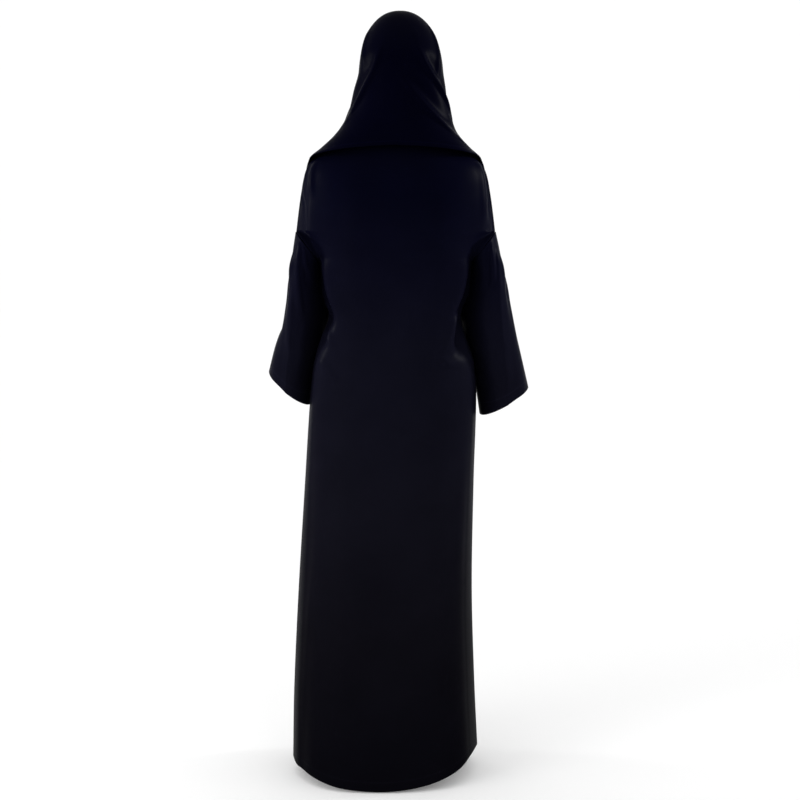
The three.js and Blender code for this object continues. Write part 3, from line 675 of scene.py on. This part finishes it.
veil_creases = [
    ((29, 1.512), (68, 1.372), 1.4, 3.6, 0.0065),
    ((44, 1.505), (82, 1.380), 1.4, 8, -0.0050),
    ((-22, 1.520), (-88, 1.384), 1.4, 3.6, 0.0070),
    ((-39, 1.505), (-96, 1.405), 1.4, 8, -0.0050),
    ((0, 1.458), (-70, 1.330), 1.1, 3.6, 0.0062),
    ((-16, 1.455), (-76, 1.350), 1.1, 8, -0.0045),
    ((-66, 1.575), (-56, 1.440), 1.0, 5, 0.0040),
    ((68, 1.565), (60, 1.480), 1.0, 6, 0.0035),
    ((-19, 1.552), (-30, 1.490), 1.0, 7, 0.0025),
    ((20, 1.370), (34, 1.330), 1.0, 9, 0.0015),
    ((126, 1.480), (96, 1.372), 1.3, 6, 0.0050),
    ((232, 1.490), (264, 1.380), 1.3, 6, 0.0055),
    ((150, 1.372), (118, 1.300), 1.2, 6, 0.0050),
    ((208, 1.370), (244, 1.295), 1.2, 6, 0.0050),
]
rest_gap, rest_blend, veil_hem = 0.0012, 0.002, 0.008

probe_length = 0.6
robe_trees = [BVHTree.FromObject(piece, bpy.context.evaluated_depsgraph_get())
              for piece in (robe_back, robe_front, *sleeves)]


def robe_reach(turn_grid, heights):
    """How far the robe reaches from the veil's axis, on an even grid of turns and heights."""
    reach = np.zeros((len(heights), len(turn_grid)))
    for i, height in enumerate(heights):
        shift = float(veil_section(height, "shift"))
        for j, turn in enumerate(turn_grid):
            away = Vector((math.sin(math.radians(turn)), math.cos(math.radians(turn)), 0))
            axis = Vector((shift, 0, hem_level + height))
            for tree in robe_trees:
                hit = tree.ray_cast(axis + away * probe_length, -away, probe_length)
                if hit[0] is not None:
                    reach[i, j] = max(reach[i, j], probe_length - hit[3])
    return reach


turn_step, height_step = 2.0, 0.004
reach_turns = np.arange(0, 360, turn_step)
reach_heights = np.arange(0.94, 1.372, height_step)
reach = robe_reach(reach_turns, reach_heights)
reach = np.maximum(np.maximum(np.roll(reach, 1, axis=1), np.roll(reach, -1, axis=1)), reach)


def look_up(turn, height):
    """The robe's reach at any turn and height, between the values on the even grid."""
    column = (turn % 360) / turn_step
    row = np.clip((height - reach_heights[0]) / height_step, 0, len(reach_heights) - 1.001)
    j, i = np.floor(column).astype(int), np.floor(row).astype(int)
    u, v = column - j, row - i
    j0, j1 = j % len(reach_turns), (j + 1) % len(reach_turns)
    near = reach[i, j0] * (1 - u) + reach[i, j1] * u
    far = reach[i + 1, j0] * (1 - u) + reach[i + 1, j1] * u
    return near * (1 - v) + far * v


def veil_points(turn, height):
    """Points of the veil at turns all round and heights, lifted clear of the robe."""
    wrapped = (turn + 180) % 360 - 180
    dome = np.clip((height - dome_start) / (crown_height - dome_start), 0, 1)
    rounding = (1 - dome**dome_roundness) ** (1 / dome_roundness)
    across, deep = unit_section(turn, veil_section(height, "squareness"))
    fold = folds_out(veil_folds, (turn + 90) % 360 - 90, height)
    fold = fold + creases_out(veil_creases, turn, height)
    x = veil_section(height, "half_width") * across * rounding
    y = np.where(np.abs(wrapped) <= 90, veil_section(height, "back"), veil_section(height, "front"))
    y = y * deep * rounding
    length = np.maximum(np.hypot(x, y), 1e-6)
    angle = np.degrees(np.arctan2(x, y))
    open_reach = length + fold * rounding

    # It lies on the robe wherever the robe reaches further, and its turned hem lies on it double.
    above_edge = height - veil_edge(np.abs(wrapped), "height")
    doubled = 1 - smooth(veil_hem, veil_hem + 0.006, above_edge)
    least = look_up(angle, height) + rest_gap + hem_inset * doubled
    lifted = (open_reach + least + np.hypot(open_reach - least, rest_blend)) / 2
    radius = np.where(height < reach_heights[-1], lifted, open_reach)
    return np.stack(
        [
            veil_section(height, "shift") + x / length * radius,
            y / length * radius,
            hem_level + height + 0 * x,
        ],
        axis=-1,
    )


def face_place(turn, height):
    """Draws the grid round the face from a square hole to an oval one."""
    p = (turn % 360 - 180) / face["turn"]
    q = (height - face["height"]) / face["half_height"]
    ring = np.maximum(np.maximum(np.abs(p), np.abs(q)), 1e-6)
    shrink = ring / np.maximum(np.hypot(p, q), 1e-6)
    shrink = shrink + (1 - shrink) * smooth(1, 1.5, ring)
    return 180 + p * shrink * face["turn"], face["height"] + q * shrink * face["half_height"]


face_columns, back_columns, cape_height, cape_row_count = 44, 206, 1.340, 55
face_start, face_end = 180 - face["turn"], 180 + face["turn"]
veil_turns = np.concatenate([
    np.linspace(face_start, face_end, face_columns, endpoint=False),
    np.linspace(face_end, face_start + 360, back_columns, endpoint=False),
])[None, :]
face_top, face_foot = face["height"] + face["half_height"], face["height"] - face["half_height"]
crown_turn, crown_row_count, face_row_count, neck_row_count = 52, 17, 64, 14
crown_angles = np.radians(np.linspace(0, crown_turn, crown_row_count))
crown_rows = crown_height - (crown_height - face_top) * (1 - np.cos(crown_angles)) / (
    1 - np.cos(crown_angles[-1])
)
face_rows = np.linspace(face_top, face_foot, face_row_count, endpoint=False)
neck_rows = np.linspace(face_foot, cape_height, neck_row_count, endpoint=False)
level_rows = np.concatenate([crown_rows[:-1], face_rows, neck_rows])[:, None]
upper = veil_points(*face_place(veil_turns, level_rows))
cape_turns, cape_top = face_place(veil_turns, np.full((1, 1), cape_height))
edge = veil_edge(np.abs((veil_turns + 180) % 360 - 180), "height")
cape_rows = cape_top - (cape_top - edge - veil_hem) * np.linspace(0, 1, cape_row_count)[:, None]
hem_rows = edge + veil_hem * np.linspace(1, 0, hem_turn + 1)[1:, None]
lower = veil_points(cape_turns, np.concatenate([cape_rows, hem_rows]))
veil_grid = np.concatenate([upper, lower])[::-1]
veil_grid = turn_edge(veil_grid, outward(veil_grid, wraps=True))[:, ::-1]

face_high = len(veil_grid) - len(crown_rows)
face_low = face_high - len(face_rows)
face_left = len(veil_turns[0]) - 1
face_right = face_left - face_columns
cloth_cells = np.ones(veil_grid.shape[:2], bool)
cloth_cells[face_low:face_high, face_right:face_left] = False

# The veil's colours by height are painted light and shade: darkest over its middle as painted shade,
# and lighter at the crown as painted light from above.
veil_crepe = crepe("veil_crepe", [
    (1.0, (0.0007, 0.0007, 0.0035)),
    (1.5, (0.0005, 0.0005, 0.0034)),
    (1.6, (0.0018, 0.0018, 0.0049)),
])
veil = cloth_sheet("veil_hood", veil_grid, wraps=True, keep=cloth_cells, zero_row=hem_top_row)
veil.data.materials.append(veil_crepe)


def face_ring(step):
    """The cloth's points on the ring that lies so many cells outside the face opening."""
    across = np.arange(face_right, face_left + 1)
    up = np.arange(face_low, face_high + 1)
    columns = np.concatenate([across[:-1], up[:-1] * 0 + face_left + step, across[:0:-1],
                              up[:0:-1] * 0 + face_right - step])
    rows = np.concatenate([across[:-1] * 0 + face_low - step, up[:-1],
                           across[:0:-1] * 0 + face_high + step, up[:0:-1]])
    return rows, columns % len(veil_turns[0])


# The edge of the face opening is turned inside, as a strip that is joined on to the veil.
rings = [face_ring(step) for step in range(4)]
veil_out = -outward(veil_grid, wraps=True)
face_edge = [veil_grid[rings[0]]]
beyond = veil_grid[rings[0]] - veil_grid[rings[1]]
beyond = beyond / np.linalg.norm(beyond, axis=-1, keepdims=True)
face_edge.append(face_edge[0] + hem_inset / 2 * (beyond - veil_out[rings[0]]))
for ring in rings[1:]:
    face_edge.append(veil_grid[ring] - hem_inset * veil_out[ring])
face_hem = cloth_sheet("face_hem", np.stack(face_edge), wraps=True)
face_hem.data.materials.append(veil_crepe)
bpy.ops.object.select_all(action="DESELECT")
face_hem.select_set(True)
veil.select_set(True)
bpy.context.view_layer.objects.active = veil
bpy.ops.object.join()
bm = bmesh.new()
bm.from_mesh(veil.data)
bmesh.ops.remove_doubles(bm, verts=bm.verts, dist=1e-6)
bm.to_mesh(veil.data)
bm.free()
give_thickness(veil)
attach(veil, "root")
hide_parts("veil")
